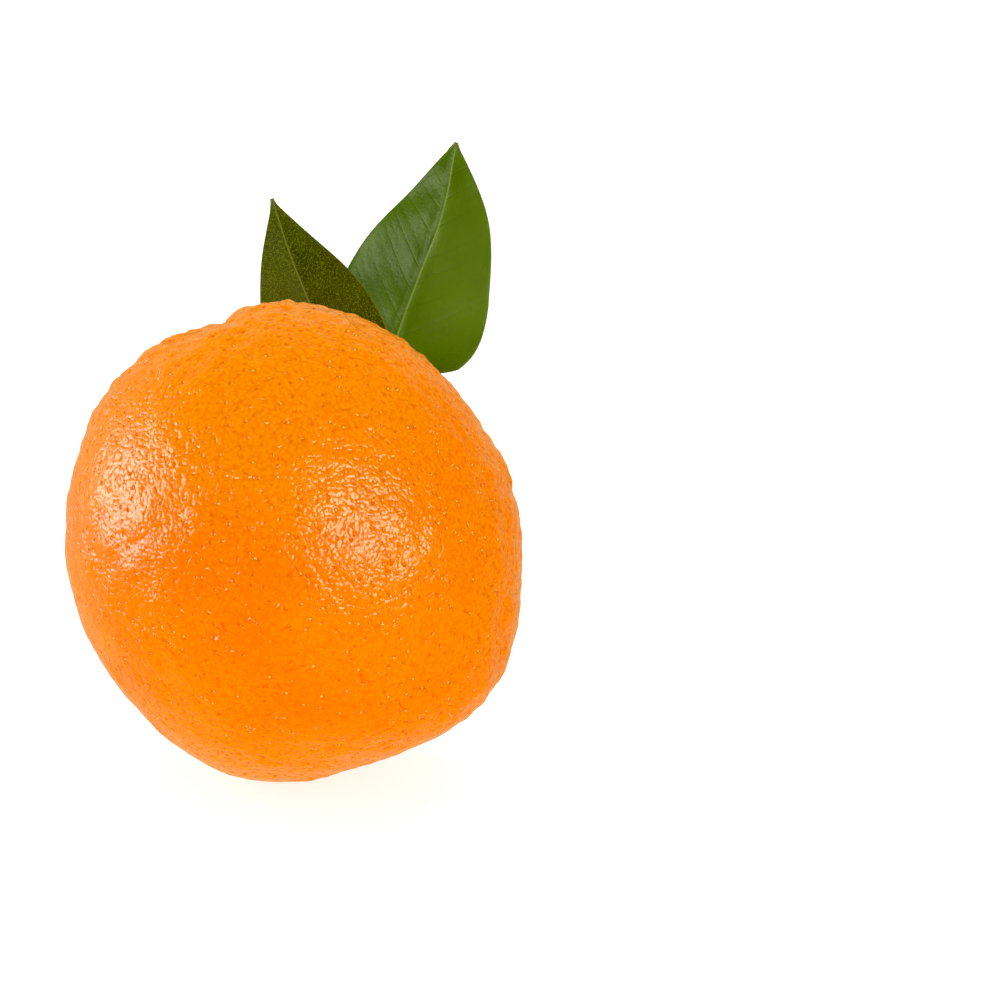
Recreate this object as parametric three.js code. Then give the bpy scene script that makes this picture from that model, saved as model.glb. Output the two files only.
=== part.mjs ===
// An orange lying on its side, with two leaves on the short clipped stalk at its stem end.
// Millimetres, +Z up. The origin is the middle of the small flat spot that the fruit rests on,
// and the stem end faces +Y.
import * as THREE from "three";
import { mergeVertices } from "three/addons/utils/BufferGeometryUtils.js";

// --- Driving dimensions -------------------------------------------------------------------------

// Fruit: a ball round a core that runs from the blossom end (-Y) to the stem end (+Y).
const FRUIT_RADIUS = 39.5;
const CORE_TILT = 4; // degrees that the stem end looks up
const CORE_FLATTENING = 0.02; // share of the radius that the core is short by
const CENTRE_HEIGHT = 41.4; // of the core's middle over the resting spot
const PEEL_DETAIL = 19; // splits of each icosahedron edge

// Broad swellings (+) and flats (-) that run from end to end and fade towards both ends.
// around: degrees round the core from +X towards +Z; spread: degrees; rise: mm at the waist.
const SWELLINGS = [
  { around: 94, spread: 30, rise: 2.0 },
  { around: 134, spread: 23, rise: 1.7 },
  { around: 264, spread: 27, rise: 3.4 },
  { around: 325, spread: 20, rise: 3.6 },
  { around: 40, spread: 20, rise: -1.3 },
  { around: 204, spread: 66, rise: -1.2 },
];

// Long furrows that wind from the stem end to just past the waist. around is taken at the angle
// FURROW_CROSSING from the stem end, and changes by FURROW_WIND degrees per degree further on.
const FURROWS = [
  { around: 113.3, spread: 5.2, depth: 1.9, end: 91 },
  { around: 124, spread: 4.4, depth: 1.4, end: 95 },
  { around: 140, spread: 3.7, depth: 0.7, end: 101 },
];
const FURROW_CROSSING = 75;
const FURROW_WIND = -0.55;
const FURROW_START = 17; // degrees from the stem end
const FURROW_RUN_OUT = 8; // degrees over which a furrow comes in or dies away

// Hollow at the stem end, with short ribs round its rim, and the fainter one at the blossom end.
const STEM_HOLLOW = { depth: 3.0, width: 10 }; // mm, degrees
const RIM_RIBS = { count: 9, rise: 0.45, from: 17, width: 7 }; // mm, then degrees
const BLOSSOM_HOLLOW = { depth: 0.6, width: 7 };
const PEEL_LUMPS = { rise: 0.16, length: 5.5, sway: 1.7, swayRate: 0.3 }; // mm, mm, radians, share

// Calyx: a five-pointed button in the stem hollow.
const CALYX = { points: 5, radius: 3.6, reach: 0.24, thickness: 1.3, cup: 0.045 };
const CALYX_SEAT = 36.2; // mm from the core's middle to the underside of the calyx

// Stalk: a clipped length of woody twig with a swollen joint where each leaf grows.
const STALK = { radius: 1.5, length: 16, sides: 14, rings: 16 };
const STALK_FOOT = { rise: 0.6, length: 1.6 };
const STALK_JOINT = { rise: 0.35, length: 1.4 };
const GAP = 0.3; // left between pieces that grow together

// Leaves: the midrib's points from the stalk to the tip, from the middle of the core, and the
// way that the upper face looks. The half-widths are left and right of the midrib, fold is how
// far each half turns up in degrees, and petiole is the leaf stalk's share of the length.
const LEFT_LEAF = {
  midrib: [
    [-1.5, 43.9, 5.3], [-8.0, 46.6, 14.2], [-12.7, 49.8, 24.1], [-18.0, 52.5, 34.0], [-22.8, 55.9, 43.9],
  ],
  looks: [0.4, -0.85, 0.34],
  halfWidths: [11.5, 11.8],
  baseFullness: 0.42,
  tipSlenderness: 1.1,
  petiole: 0.11,
  fold: 12,
  wave: 0.3,
};
const RIGHT_LEAF = {
  midrib: [
    [-0.2, 50.3, 6.6], [-1.2, 60.6, 16.5], [0.2, 69.5, 26.1], [2.5, 77.7, 36.8], [3.0, 85.2, 48.8],
  ],
  looks: [0.44, -0.83, 0.34],
  halfWidths: [13.6, 14.8],
  baseFullness: 0.42,
  tipSlenderness: 0.95,
  petiole: 0.11,
  fold: 12,
  wave: 0.4,
};
const LEAF_STEPS = 32; // along the midrib
const LEAF_STRIPS = 8; // from edge to edge
const BLADE_THICKNESS = 0.6;
const RIB_THICKNESS = 1.1; // under the midrib, at the base of the blade
const RIB_SPREAD = 1.2; // mm to each side of the midrib
const EDGE_WAVES = 2.7; // along the leaf
const PETIOLE_RADIUS = 0.9;
const PETIOLE_ROUNDING = 0.8; // 0 leaves the leaf stalk square, 1 rounds it off to sharp edges
const BLADE_OPENING = 0.11; // share of the length over which the leaf stalk opens into the blade
const TIP_HALF_WIDTH = 0.5;

// --- Helpers ------------------------------------------------------------------------------------

const { degToRad, radToDeg, smoothstep } = THREE.MathUtils;

// A smooth hump, 1 at no distance and falling away over the spread.
const hump = (distance, spread) => Math.exp(-((distance / spread) ** 2));

// The shorter way round from one angle to another, in degrees.
const turn = (from, to) => THREE.MathUtils.euclideanModulo(to - from + 180, 360) - 180;

// Places a point of the core's frame (x across, y to the stem end, z up) in the part's frame.
const fromCore = (point) =>
  point.applyAxisAngle(new THREE.Vector3(1, 0, 0), degToRad(CORE_TILT)).add(
    new THREE.Vector3(0, 0, CENTRE_HEIGHT));

// A geometry of one triangle list over shared points.
function solid(positions, triangles) {
  const geometry = new THREE.BufferGeometry();
  geometry.setAttribute("position", new THREE.Float32BufferAttribute(positions, 3));
  geometry.setIndex(triangles);
  geometry.computeVertexNormals();
  return geometry;
}

function named(name, geometry, look) {
  const mesh = new THREE.Mesh(geometry, new THREE.MeshStandardMaterial({ metalness: 0, ...look }));
  mesh.name = name;
  return mesh;
}

// --- Fruit --------------------------------------------------------------------------------------

// How far a furrow lowers the peel, at an angle from the stem end and one round the core.
function furrowDepth(furrow, fromStem, around) {
  const line = furrow.around + FURROW_WIND * (fromStem - FURROW_CROSSING);
  const comesIn = smoothstep(fromStem, FURROW_START - FURROW_RUN_OUT, FURROW_START + FURROW_RUN_OUT);
  const diesAway = 1 - smoothstep(fromStem, furrow.end - FURROW_RUN_OUT, furrow.end + FURROW_RUN_OUT);
  return furrow.depth * comesIn * diesAway * hump(turn(line, around), furrow.spread);
}

// The ribs that stand round the rim of the stem hollow.
function rimRibs(fromStem, around) {
  const wave = Math.cos(degToRad(around * RIM_RIBS.count));
  return RIM_RIBS.rise * wave * hump(fromStem - RIM_RIBS.from, RIM_RIBS.width);
}

// Three crossed waves over the peel, which leave low uneven lumps.
function peelLumps(direction) {
  const { rise, length, sway, swayRate } = PEEL_LUMPS;
  const { x, y, z } = direction.clone().multiplyScalar((FRUIT_RADIUS * Math.PI) / length);
  const wave = (along, beside) => Math.sin(along + sway * Math.sin(swayRate * beside));
  const [a, b, c] = [wave(x, z), wave(y, x), wave(z, y)];
  return rise * (a * b + b * c + c * a);
}

// Distance from the core's middle to the peel, in a direction of the core's frame.
function peelRadius(direction) {
  const fromStem = radToDeg(Math.acos(THREE.MathUtils.clamp(direction.y, -1, 1)));
  const around = radToDeg(Math.atan2(direction.z, direction.x));
  const waist = Math.sin(degToRad(fromStem)) ** 2.5;
  let radius = FRUIT_RADIUS * (1 - CORE_FLATTENING * direction.y ** 2);
  for (const { around: at, spread, rise } of SWELLINGS) {
    radius += rise * waist * hump(turn(at, around), spread);
  }
  for (const furrow of FURROWS) {
    radius -= furrowDepth(furrow, fromStem, around);
  }
  radius -= STEM_HOLLOW.depth * hump(fromStem, STEM_HOLLOW.width);
  radius -= BLOSSOM_HOLLOW.depth * hump(180 - fromStem, BLOSSOM_HOLLOW.width);
  const clearOfCalyx = 1 - hump(fromStem, STEM_HOLLOW.width);
  return radius + rimRibs(fromStem, around) + clearOfCalyx * peelLumps(direction);
}

// An even ball of triangles, each point moved out to the peel, with the lowest ones levelled.
function fruitGeometry() {
  const ball = new THREE.IcosahedronGeometry(1, PEEL_DETAIL);
  ball.deleteAttribute("normal");
  ball.deleteAttribute("uv");
  const geometry = mergeVertices(ball);
  const points = geometry.attributes.position;
  const point = new THREE.Vector3();
  for (let i = 0; i < points.count; i += 1) {
    point.fromBufferAttribute(points, i).normalize();
    fromCore(point.multiplyScalar(peelRadius(point)));
    points.setXYZ(i, point.x, point.y, Math.max(point.z, 0));
  }
  geometry.computeVertexNormals();
  return geometry;
}

// --- Calyx and stalk ----------------------------------------------------------------------------

// A domed button turned round the core's line, then drawn out into points and cupped like the
// hollow that it sits in.
function calyxGeometry() {
  const { radius, thickness, points, reach, cup } = CALYX;
  const profile = [
    [0, 0], [0.5, 0], [0.82, 0.02], [1, 0.2], [0.94, 0.42], [0.62, 0.78], [0.3, 1], [0, 1],
  ].map(([out, up]) => new THREE.Vector2(out * radius, up * thickness));
  const geometry = new THREE.LatheGeometry(profile, points * 8);
  const place = geometry.attributes.position;
  for (let i = 0; i < place.count; i += 1) {
    const x = place.getX(i);
    const z = place.getZ(i);
    const out = Math.hypot(x, z);
    const point = Math.cos(points * Math.atan2(z, x));
    const stretch = 1 + reach * point * (out / radius) ** 2;
    place.setXYZ(i, x * stretch, place.getY(i) + cup * (out * stretch) ** 2, z * stretch);
  }
  return geometry;
}

// Distances along the stalk, from its foot, at which the two leaves grow.
const LEAF_JOINTS = [LEFT_LEAF, RIGHT_LEAF].map(
  ({ midrib }) => midrib[0][1] - CALYX_SEAT - CALYX.thickness - GAP);

function stalkGeometry() {
  const { radius, length, sides, rings } = STALK;
  const profile = [new THREE.Vector2(0, 0)];
  for (let ring = 0; ring <= rings; ring += 1) {
    const along = (length * ring) / rings;
    const foot = STALK_FOOT.rise * hump(along, STALK_FOOT.length);
    const joints = LEAF_JOINTS.map((at) => STALK_JOINT.rise * hump(along - at, STALK_JOINT.length));
    profile.push(new THREE.Vector2(radius + foot + joints[0] + joints[1], along));
  }
  profile.push(new THREE.Vector2(0, length));
  return new THREE.LatheGeometry(profile, sides);
}

// --- Leaves -------------------------------------------------------------------------------------

// Half the blade's width as a share of its widest, from the blade's base (0) to its tip (1).
function bladeShare(along, { baseFullness, tipSlenderness }) {
  const widest = baseFullness / (baseFullness + tipSlenderness);
  const outline = (t) => t ** baseFullness * (1 - t) ** tipSlenderness;
  return outline(along) / outline(widest);
}

// How much of the leaf is blade at a share of its length, and its half-width on one side.
function leafSection(along, widest, leaf) {
  const blade = smoothstep(along, leaf.petiole, leaf.petiole + BLADE_OPENING);
  if (along <= leaf.petiole) return { blade, halfWidth: PETIOLE_RADIUS };
  const inBlade = (along - leaf.petiole) / (1 - leaf.petiole);
  const least = THREE.MathUtils.lerp(PETIOLE_RADIUS, TIP_HALF_WIDTH, inBlade);
  return { blade, halfWidth: Math.max(blade * widest * bladeShare(inBlade, leaf), least) };
}

// A closed blade: a grid of points on the upper face and the same grid on the lower face, folded
// along the midrib, waved at the edges, and thicker under the midrib and in the leaf stalk.
function leafGeometry(leaf) {
  const curve = new THREE.CatmullRomCurve3(
    leaf.midrib.map(([x, y, z]) => new THREE.Vector3(x, y, z + CENTRE_HEIGHT)));
  const looks = new THREE.Vector3(...leaf.looks).normalize();
  const fold = degToRad(leaf.fold);
  const upper = [];
  const lower = [];
  for (let step = 0; step <= LEAF_STEPS; step += 1) {
    const along = step / LEAF_STEPS;
    const middle = curve.getPointAt(along);
    const tangent = curve.getTangentAt(along);
    const normal = looks.clone().addScaledVector(tangent, -looks.dot(tangent)).normalize();
    const side = new THREE.Vector3().crossVectors(tangent, normal);
    for (let strip = 0; strip <= LEAF_STRIPS; strip += 1) {
      const across = (2 * strip) / LEAF_STRIPS - 1;
      const widest = leaf.halfWidths[across < 0 ? 0 : 1];
      const { blade, halfWidth } = leafSection(along, widest, leaf);
      const out = Math.abs(across) * halfWidth;
      const wave = leaf.wave * across ** 2 * Math.sin(2 * Math.PI * EDGE_WAVES * along + 2 * across);
      const lift = blade * (Math.sin(fold) * out + wave);
      const rib = (RIB_THICKNESS - BLADE_THICKNESS) * hump(out, RIB_SPREAD) * (1 - along);
      const stalk = 2 * PETIOLE_RADIUS * Math.sqrt(1 - PETIOLE_ROUNDING * across ** 2);
      const thickness = THREE.MathUtils.lerp(stalk, BLADE_THICKNESS + rib, blade);
      const place = middle.clone()
        .addScaledVector(side, across * halfWidth * Math.cos(fold * blade))
        .addScaledVector(normal, lift);
      upper.push(place.clone().addScaledVector(normal, BLADE_THICKNESS / 2));
      lower.push(place.clone().addScaledVector(normal, BLADE_THICKNESS / 2 - thickness));
    }
  }
  return closedSheet(upper, lower, LEAF_STEPS, LEAF_STRIPS);
}

// Joins two like grids of points, an upper and a lower one, into one closed body.
function closedSheet(upper, lower, rows, columns) {
  const positions = [...upper, ...lower].flatMap((point) => point.toArray());
  const below = upper.length;
  const at = (row, column) => row * (columns + 1) + column;
  const triangles = [];
  for (let row = 0; row < rows; row += 1) {
    for (let column = 0; column < columns; column += 1) {
      const [a, b] = [at(row, column), at(row, column + 1)];
      const [d, c] = [at(row + 1, column), at(row + 1, column + 1)];
      triangles.push(a, b, c, a, c, d);
      triangles.push(below + a, below + c, below + b, below + a, below + d, below + c);
    }
  }
  const rim = [];
  for (let column = 0; column < columns; column += 1) rim.push(at(0, column));
  for (let row = 0; row < rows; row += 1) rim.push(at(row, columns));
  for (let column = columns; column > 0; column -= 1) rim.push(at(rows, column));
  for (let row = rows; row > 0; row -= 1) rim.push(at(row, 0));
  rim.forEach((a, i) => {
    const b = rim[(i + 1) % rim.length];
    triangles.push(a, below + b, b, a, below + a, below + b);
  });
  return solid(positions, triangles);
}

// --- Assembly -----------------------------------------------------------------------------------

const orange = new THREE.Group();

orange.add(named("fruit", fruitGeometry(), { color: 0xfb8206, roughness: 0.42 }));

const stemEnd = new THREE.Group();
stemEnd.position.z = CENTRE_HEIGHT;
stemEnd.rotation.x = degToRad(CORE_TILT);
const calyx = named("calyx", calyxGeometry(), { color: 0x6f7a2c, roughness: 0.8 });
calyx.position.y = CALYX_SEAT;
const twig = named("twig", stalkGeometry(), { color: 0x6a7436, roughness: 0.8 });
twig.position.y = CALYX_SEAT + CALYX.thickness + GAP;
stemEnd.add(calyx, twig);
orange.add(stemEnd);

orange.add(named("leaf_left", leafGeometry(LEFT_LEAF), { color: 0x3d4a08, roughness: 0.5 }));
orange.add(named("leaf_right", leafGeometry(RIGHT_LEAF), { color: 0x4b6a12, roughness: 0.4 }));

export default orange;
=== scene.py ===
# An orange lying on its side, with two leaves on the short clipped stalk at its stem end.
# Metres, +Z up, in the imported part's frame: the fruit rests at the origin, its stem end faces +Y.
import math
import random

import bmesh
import bpy
import numpy as np
from mathutils import Euler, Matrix, Vector, kdtree, noise
from mathutils.bvhtree import BVHTree


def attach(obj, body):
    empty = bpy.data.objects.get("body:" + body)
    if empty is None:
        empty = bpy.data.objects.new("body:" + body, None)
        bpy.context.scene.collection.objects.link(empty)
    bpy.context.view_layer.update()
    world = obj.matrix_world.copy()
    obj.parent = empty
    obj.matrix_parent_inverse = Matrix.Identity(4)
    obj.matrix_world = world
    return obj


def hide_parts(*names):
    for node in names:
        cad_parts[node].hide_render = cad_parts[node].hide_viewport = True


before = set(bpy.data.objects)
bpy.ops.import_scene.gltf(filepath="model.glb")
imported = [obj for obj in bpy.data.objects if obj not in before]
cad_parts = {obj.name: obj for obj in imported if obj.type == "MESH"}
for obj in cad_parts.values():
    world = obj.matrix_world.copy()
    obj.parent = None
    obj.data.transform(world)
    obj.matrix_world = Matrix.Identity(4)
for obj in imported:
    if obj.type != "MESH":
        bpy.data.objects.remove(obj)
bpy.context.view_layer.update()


# --- Table, light and camera ----------------------------------------------------------------------
# The orange lies on a white table that glows a little. A softbox on its left and a round dish on
# its right make the highlights, and a panel overhead, a low fill in front and a soft lamp on the
# left light the skin. None of this is part of the orange.

MM = 0.001
FRUIT_MIDDLE = Vector((0, 0, 41.4 * MM))
CAMERA_DISTANCE = 0.75
CAMERA_TURN = math.radians(17)  # round the vertical, from straight in front
CAMERA_DROP = math.radians(20)  # that it looks down
CAMERA_LENS = 157.14  # mm
CAMERA_SENSOR = 36  # mm
CAMERA_SLIDE = Vector((0.03591, 0.00722, 0))  # right and up, which puts the fruit left of centre
WHITE = (1, 1, 1, 1)
TABLE_SIZE = 5.0
TABLE_WHITE = (0.60, 0.60, 0.60, 1)
TABLE_GLOW = 0.74
ROOM_LIGHT = 0.68
BLUE_CUT = 0.008  # taken off the blue of the whole render, as a vivid film would

# In reflections the room is white only at the back on the left, and dark behind the camera.
ROOM_WHITE_SIDE = (-0.70, 0.69, -0.18)
ROOM_WHITE_EDGE = (0.1, 0.75)  # cosine of the angle from that side: dark at one, white at the other
ROOM_IN_GLOSS = (0.10, 0.70)  # its strength where it is dark and where it is white
ROOM_WARMTH = (1, 0.84, 0.48, 1)


def feed(owner, node, sockets):
    """Gives a node's inputs numbers, colours or other nodes' outputs."""
    for socket, value in sockets.items():
        if isinstance(value, bpy.types.NodeSocket):
            owner.node_tree.links.new(value, node.inputs[socket])
        else:
            node.inputs[socket].default_value = value


def shade(owner, kind, sockets=None, **settings):
    """Adds a shader node to a material or to the world."""
    node = owner.node_tree.nodes.new("ShaderNode" + kind)
    for name, value in settings.items():
        setattr(node, name, value)
    feed(owner, node, sockets or {})
    return node


def remapped(owner, value, start, end, to=(0, 1), curve="LINEAR"):
    """Turns a value that runs from start to end into one that runs between the two of to."""
    limits = {"From Min": start, "From Max": end, "To Min": to[0], "To Max": to[1]}
    node = shade(owner, "MapRange", {"Value": value, **limits}, interpolation_type=curve)
    return node.outputs[0]


def blended(owner, share, under, over):
    """A colour that goes from under to over as share goes from 0 to 1."""
    # A Mix node's two colours are its inputs 6 and 7, and what they make is its output 2.
    node = shade(owner, "Mix", {"Factor": share, 6: under, 7: over}, data_type="RGBA")
    return node.outputs[2]


def new_material(name):
    """An empty material, and its surface shader."""
    material = bpy.data.materials.new(name)
    material.use_nodes = True
    return material, material.node_tree.nodes["Principled BSDF"]


def finished_piece(name, bm):
    """Turns a bmesh into an object at the origin, smooth all over."""
    mesh = bpy.data.meshes.new(name)
    bm.to_mesh(mesh)
    bm.free()
    mesh.polygons.foreach_set("use_smooth", [True] * len(mesh.polygons))
    piece = bpy.data.objects.new(name, mesh)
    bpy.context.scene.collection.objects.link(piece)
    return piece


def light(name, direction, distance, size, power, colour=(1, 1, 1), diffuse=True, gloss=True):
    """A lamp that looks at the fruit from a direction: round if size is one number."""
    data = bpy.data.lights.new(name, "AREA")
    data.shape = "DISK" if len(size) == 1 else "RECTANGLE"
    data.size = size[0]
    if len(size) == 2:
        data.size_y = size[1]
    data.energy = power
    data.color = colour
    # A lamp that no reflection shows needs no rays that look for it.
    data.cycles.use_multiple_importance_sampling = gloss
    lamp = bpy.data.objects.new(name, data)
    towards = Vector(direction).normalized()
    lamp.location = FRUIT_MIDDLE + towards * distance
    lamp.rotation_euler = towards.to_track_quat("Z", "Y").to_euler()
    lamp.visible_camera = False
    lamp.visible_diffuse = diffuse
    lamp.visible_glossy = gloss
    bpy.context.scene.collection.objects.link(lamp)


camera_data = bpy.data.cameras.new("camera")
camera_data.lens = CAMERA_LENS
camera_data.sensor_width = CAMERA_SENSOR
camera_data.clip_start = 0.01
camera = bpy.data.objects.new("camera", camera_data)
camera.rotation_euler = Euler((math.pi / 2 - CAMERA_DROP, 0, CAMERA_TURN))
looking = camera.rotation_euler.to_matrix()
camera.location = (FRUIT_MIDDLE + looking @ Vector((0, 0, CAMERA_DISTANCE))
                   + looking @ CAMERA_SLIDE)
bpy.context.scene.collection.objects.link(camera)
bpy.context.scene.camera = camera

bm = bmesh.new()
bmesh.ops.create_grid(bm, x_segments=1, y_segments=1, size=TABLE_SIZE / 2)
table = finished_piece("table", bm)
table_paint, surface = new_material("table_white")
feed(table_paint, surface, {
    "Base Color": TABLE_WHITE, "Emission Color": WHITE, "Emission Strength": TABLE_GLOW,
    "Roughness": 0.9, "Specular IOR Level": 0.1})
table.data.materials.append(table_paint)
table.visible_glossy = False  # or its white would lie as a haze over the lower half of the peel

# The room is found by bounced rays alone, because only they know whether they are reflections.
room = bpy.data.worlds.new("studio")
room.use_nodes = True
room.cycles.sampling_method = "NONE"
reflected = shade(room, "LightPath").outputs["Is Glossy Ray"]
directions = shade(room, "TexCoord").outputs["Generated"]
facing = shade(room, "VectorMath", {0: directions, 1: ROOM_WHITE_SIDE}, operation="DOT_PRODUCT")
in_gloss = remapped(room, facing.outputs["Value"], *ROOM_WHITE_EDGE, to=ROOM_IN_GLOSS)
feed(room, room.node_tree.nodes["Background"], {
    "Color": blended(room, reflected, WHITE, ROOM_WARMTH),
    "Strength": remapped(room, reflected, 0, 1, to=(ROOM_LIGHT, in_gloss))})
bpy.context.scene.world = room

light("softbox", (-0.94, -0.27, 0.20), 1.1, (0.95, 0.60), 27, colour=(1, 1, 0.94), diffuse=False)
light("dish", (0.837, -0.455, 0.335), 1.2, (0.72,), 27, colour=(1, 1, 0.80), diffuse=False)
light("side", (-0.95, 0.25, 0.15), 1.6, (0.8, 0.8), 10, gloss=False)
light("panel", (0.0, 0.45, 1.0), 2.2, (1.6, 1.6), 25, gloss=False)
light("fill", (0.35, -0.95, 0.12), 1.6, (1.8, 0.8), 8, gloss=False)

view = bpy.context.scene.view_settings
view.view_transform = "Standard"
view.look = "None"
view.use_curve_mapping = True
view.curve_mapping.black_level = (0, 0, BLUE_CUT)


# --- Peel -----------------------------------------------------------------------------------------
# The whole rind of the orange: a tough waxy skin over a spongy one, grown in one piece. Oil glands
# under it dimple the surface, and it is pitted, lumpy and creased towards the stem end.

FRUIT_RADIUS = 39.5 * MM
CORE_TILT = math.radians(4)
STEM = Vector((0, math.cos(CORE_TILT), math.sin(CORE_TILT)))
STEM_UP = STEM.cross(Vector((1, 0, 0))).normalized() * -1  # square to the core, and upward
PEEL_CUTS = 126  # across each of the six faces that the ball starts from
PEEL_SMOOTHING = 26
MERGE_DISTANCE = 0.001 * MM  # at which corners of the solid's loose triangles become one

# Relief of the skin: its height, its width, and how far its pattern is shifted.
SWELLS = (0.14 * MM, 9.0 * MM)
LUMPS = (0.10 * MM, 3.8 * MM, (3, 1, 2))
PEBBLES = (0.13 * MM, 2.2 * MM, (7, 5, 9))
SHOULDER = (84, 114)  # degrees from the stem end over which the shoulder's roughness dies away
SHOULDER_ROUGHNESS = 1.7  # how much stronger lumps and pebbles are on the shoulder
WRINKLED = (122, 36)  # where round the core the shoulder is wrinkled, and over how wide a part
WRINKLED_ROUGHNESS = 3.0
STEM_CALM = 11  # degrees round the stem end that stay smooth, under the calyx

# Dimples over the oil glands.
PORE_COUNT = 7000
GOLDEN_ANGLE = math.pi * (3 - math.sqrt(5))  # from one point of an even spiral to the next
PORE_STRAY = 0.42  # share of their spacing by which they leave an even pattern
PORE_GAP = 1.35 * MM
PORE_RADIUS = 0.75 * MM
PORE_DEPTH = (0.03 * MM, 0.09 * MM)
PORE_SHARE = 0.8  # of a dimple's depth that is in the mesh
PIT_CHANCE = 0.30  # that a gland has sunk and left a deeper pit
PIT_DEPTH = (0.10 * MM, 0.15 * MM)

# Narrow creases in the long furrows: where round the core, how wide, how deep and how far.
CREASES = [
    (113.3, 1.7, 0.50 * MM, 96), (118.2, 1.3, 0.22 * MM, 88), (124.0, 1.5, 0.42 * MM, 99),
    (131.0, 1.2, 0.20 * MM, 92), (140.0, 1.4, 0.24 * MM, 103), (104.0, 1.2, 0.16 * MM, 86),
]
CREASE_CROSSING = 75  # degrees from the stem end at which a crease is where its row says
CREASE_WIND = -0.55  # degrees round the core for each one from the stem end
CREASE_START = 20
CREASE_FADE = 14
STYLE_SCAR = (0.9 * MM, 0.75 * MM)  # radius and depth of the scar at the blossom end

# Colours, and where the skin takes them.
PEEL_ORANGE = (0.93, 0.240, 0.0012, 1)
PEEL_RED = (0.90, 0.190, 0.0010, 1)
PEEL_PAINTED_LIGHT = (0.95, 0.295, 0.0030, 1)
# Painted shade for the crevices between domes, a painted glint for the bottoms of the deepest pits,
# and the glands' own darker tone with painted shade in their dimples:
PEEL_CREVICE_SHADE = (0.80, 0.110, 0.0006, 1)
GLAND_PAINTED_GLINT = (1.0, 0.62, 0.14, 1)
GLAND_TONE_AND_SHADE = (0.86, 0.105, 0.0006, 1)
TINT_CLOUDS = 38  # per metre
TINT_RED = (0.40, 0.66)  # part of the clouds over which orange turns to red
CROWN_PAINTED_LIGHT = (50 * MM, 86 * MM)  # heights over which it is painted yellower and lighter towards the top, as painted light
FOOT_PAINTED_LIGHT = (24 * MM, 4 * MM)  # and towards the table, also as painted light

# Millimetres from a gland's middle: the rim and floor of its dimple, its pale bottom, which is a
# painted glint, and how far it may reach before it is cut off short of its neighbour.
GLAND_WALL = (0.47, 0.04)
GLINT_SPOT_RADII = (0.25, 0.13)
GLAND_REACH = (0.66, 0.54)
# Millimetres of depth at which a gland begins to look dark, from its own darker tone and painted
# shade in its dimple, or to show a pale bottom, a painted glint, and is fully so, and how much it
# then hides of the skin's own colour.
GLAND_TONE_AND_SHADE_DEPTHS = (0.012, 0.075)
GLAND_TONE_AND_SHADE_MOST = 0.64
GLINT_DEPTHS = (0.118, 0.135)
GLINT_STRENGTH = 0.9

# Fine relief in millimetres: gland pits, the small domes between them, and the skin's grain.
PIT_STRENGTH = -1.7
DOME_SIZE = 0.68
DOME_FALL = -0.125
DOME_PAINTED_SHADE = (0.05, 0.45)  # part of the way down a dome over which painted shade darkens the crevices
DOME_PAINTED_SHADE_SHARE = 0.42
GRAIN_SIZE = 0.8
GRAIN_HEIGHT = 0.12

# Gloss, and the flesh-coloured light that comes back out of the skin.
GLOSS_CLOUDS = 420  # per metre
GLOSS_PART = (0.3, 0.7)  # of the clouds over which the skin goes from glossier to duller
GLOSS_ROUGHNESS = (0.06, 0.09)
FLESH_SHARE = 0.12  # of the light that goes through the skin's surface
FLESH_COLOUR = (1.0, 0.35, 0.08)
FLESH_DEPTH = 1.5 * MM


def swell(place, height, width, shift=(0, 0, 0)):
    """Smooth random relief of a given height and width."""
    return height * noise.noise((place + Vector(shift)) / width)


def part_way(value, start, end):
    """0 before start, 1 past end and even in between, where end may be the lower one."""
    return min(max((value - start) / (end - start), 0), 1)


def hump(distance, spread):
    """1 at no distance, falling away smoothly to nothing at about twice the spread."""
    return math.exp(-(distance / spread) ** 2)


def crease_depth(from_stem, around):
    """How far the creases lower the skin, at an angle from the stem end and one round the core."""
    depth = 0
    for at, width, deep, end in CREASES:
        line = at + CREASE_WIND * (from_stem - CREASE_CROSSING)
        off = (around - line + 180) % 360 - 180
        comes_in = part_way(from_stem, CREASE_START, CREASE_START + CREASE_FADE)
        dies_away = part_way(from_stem, end, end - CREASE_FADE)
        depth += deep * hump(off, width) * comes_in * dies_away
    return depth


def keep_on_points(mesh, name, values):
    """Stores a number or a vector for each point of a mesh, for its material to read."""
    values = np.asarray(values, np.float32)
    kind, field = ("FLOAT", "value") if values.ndim == 1 else ("FLOAT_VECTOR", "vector")
    mesh.attributes.new(name, kind, "POINT").data.foreach_set(field, values.ravel())


def kept(owner, name, output="Fac"):
    """What keep_on_points stored."""
    return shade(owner, "Attribute", attribute_name=name).outputs[output]


def clouds(owner, where, per_metre, detail, roughness=0.5):
    """A soft random pattern that runs from 0 to 1."""
    sockets = {"Vector": where, "Scale": per_metre, "Detail": detail, "Roughness": roughness}
    return shade(owner, "TexNoise", sockets).outputs["Fac"]


def cells(owner, where, per_metre, feature):
    """Distance from the middle, or from the edge, of one of many small random cells."""
    sockets = {"Vector": where, "Scale": per_metre}
    return shade(owner, "TexVoronoi", sockets, feature=feature).outputs["Distance"]


def reckoned(owner, operation, *values):
    """What a Math node makes of numbers and other nodes' outputs."""
    return shade(owner, "Math", dict(enumerate(values)), operation=operation).outputs[0]


def raised(owner, height, distance, over=None, invert=False):
    """A bump that a pattern raises, on top of another bump if there is one."""
    sockets = {"Height": height, "Distance": distance}
    if over is not None:
        sockets["Normal"] = over
    return shade(owner, "Bump", sockets, invert=invert).outputs[0]


solid_fruit = bmesh.new()
solid_fruit.from_mesh(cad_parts["fruit"].data)
bmesh.ops.remove_doubles(solid_fruit, verts=solid_fruit.verts, dist=MERGE_DISTANCE)
fruit_tree = BVHTree.FromBMesh(solid_fruit)
solid_fruit.free()

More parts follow.
